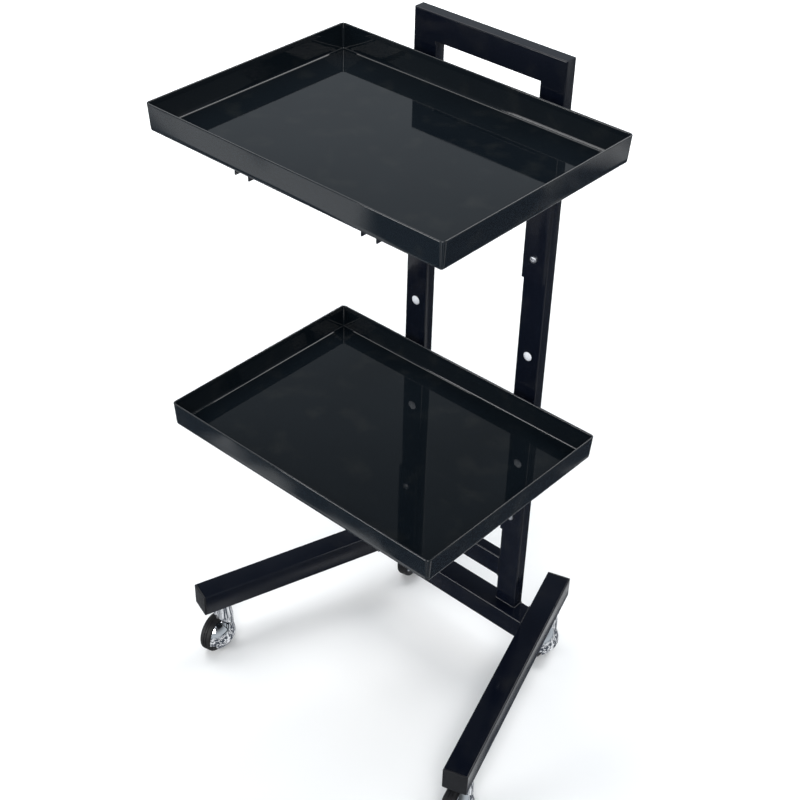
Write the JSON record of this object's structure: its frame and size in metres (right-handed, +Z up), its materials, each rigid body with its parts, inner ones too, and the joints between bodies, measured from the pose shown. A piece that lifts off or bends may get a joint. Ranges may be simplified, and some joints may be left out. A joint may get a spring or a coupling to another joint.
{
  "type": "salon trolley",
  "caption": "Rolling salon trolley: black ladder frame on splayed legs with ball casters, carrying open trays on steel brackets at two heights.",
  "frame": {"origin": "on the floor, below the centre of the trolley's box", "axes": "+Z up, -Y the open front where the trays reach out, +Y the frame's back, +X the trolley's right seen from the front"},
  "size_m": [0.4502, 0.376, 0.829],
  "materials": {
    "frame_black": "gloss",
    "bracket_black": "gloss",
    "tray_black": "gloss",
    "plug_black": "satin",
    "cap_white": "gloss",
    "zinc": "satin",
    "chrome": "polished",
    "hub_black": "satin",
    "tyre_black": "matte"
  },
  "bodies": {
    "frame": {"top_bar": "frame_black", "middle_bar": "frame_black", "bottom_bar": "frame_black", "upright_left": "frame_black", "upright_right": "frame_black", "leg_left": "frame_black", "leg_right": "frame_black", "hole_plug_left": "cap_white", "hole_plug_right": "cap_white", "leg_plug_left_front": "plug_black", "leg_plug_left_rear": "plug_black", "leg_plug_right_front": "plug_black", "leg_plug_right_rear": "plug_black", "upper_tray": "tray_black", "upper_tray_studs": "zinc", "upper_tray_nuts": "zinc", "upper_bracket_left": "bracket_black", "upper_bracket_screws_left": "zinc", "upper_bracket_right": "bracket_black", "upper_bracket_screws_right": "zinc", "lower_tray": "tray_black", "lower_tray_studs": "zinc", "lower_tray_nuts": "zinc", "lower_bracket_left": "bracket_black", "lower_bracket_screws_left": "zinc", "lower_bracket_right": "bracket_black", "lower_bracket_screws_right": "zinc", "caster_fl_stem": "chrome", "caster_fl_nut": "zinc", "caster_fr_stem": "chrome", "caster_fr_nut": "zinc", "caster_rl_stem": "chrome", "caster_rl_nut": "zinc", "caster_rr_stem": "chrome", "caster_rr_nut": "zinc"},
    "caster_fl_swivel": {"caster_fl_hood": "chrome"},
    "caster_fl_wheel": {"caster_fl_axle": "chrome", "caster_fl_hub": "hub_black", "caster_fl_tyre": "tyre_black", "caster_fl_cap": "chrome"},
    "caster_fr_swivel": {"caster_fr_hood": "chrome"},
    "caster_fr_wheel": {"caster_fr_axle": "chrome", "caster_fr_hub": "hub_black", "caster_fr_tyre": "tyre_black", "caster_fr_cap": "chrome"},
    "caster_rl_swivel": {"caster_rl_hood": "chrome"},
    "caster_rl_wheel": {"caster_rl_axle": "chrome", "caster_rl_hub": "hub_black", "caster_rl_tyre": "tyre_black", "caster_rl_cap": "chrome"},
    "caster_rr_swivel": {"caster_rr_hood": "chrome"},
    "caster_rr_wheel": {"caster_rr_axle": "chrome", "caster_rr_hub": "hub_black", "caster_rr_tyre": "tyre_black", "caster_rr_cap": "chrome"}
  },
  "joints": [
    {"name": "fl_swivel", "type": "hinge", "parent": "frame", "child": "caster_fl_swivel", "pos_m": [-0.20169, -0.12411, 0.063], "axis": [0, 0, 1], "continuous": true},
    {"name": "fl_wheel_spin", "type": "hinge", "parent": "caster_fl_swivel", "child": "caster_fl_wheel", "pos_m": [-0.20461, -0.1372, 0.025], "axis": [0.9703, 0.2419, 0], "continuous": true},
    {"name": "fr_swivel", "type": "hinge", "parent": "frame", "child": "caster_fr_swivel", "pos_m": [0.20169, -0.12411, 0.063], "axis": [0, 0, 1], "continuous": true},
    {"name": "fr_wheel_spin", "type": "hinge", "parent": "caster_fr_swivel", "child": "caster_fr_wheel", "pos_m": [0.19877, -0.1372, 0.025], "axis": [0.9703, 0.2419, 0], "continuous": true},
    {"name": "rl_swivel", "type": "hinge", "parent": "frame", "child": "caster_rl_swivel", "pos_m": [-0.11115, 0.15455, 0.063], "axis": [0, 0, 1], "continuous": true},
    {"name": "rl_wheel_spin", "type": "hinge", "parent": "caster_rl_swivel", "child": "caster_rl_wheel", "pos_m": [-0.11407, 0.14146, 0.025], "axis": [0.9703, 0.2419, 0], "continuous": true},
    {"name": "rr_swivel", "type": "hinge", "parent": "frame", "child": "caster_rr_swivel", "pos_m": [0.11115, 0.15455, 0.063], "axis": [0, 0, 1], "continuous": true},
    {"name": "rr_wheel_spin", "type": "hinge", "parent": "caster_rr_swivel", "child": "caster_rr_wheel", "pos_m": [0.10823, 0.14146, 0.025], "axis": [0.9703, 0.2419, 0], "continuous": true}
  ]
}
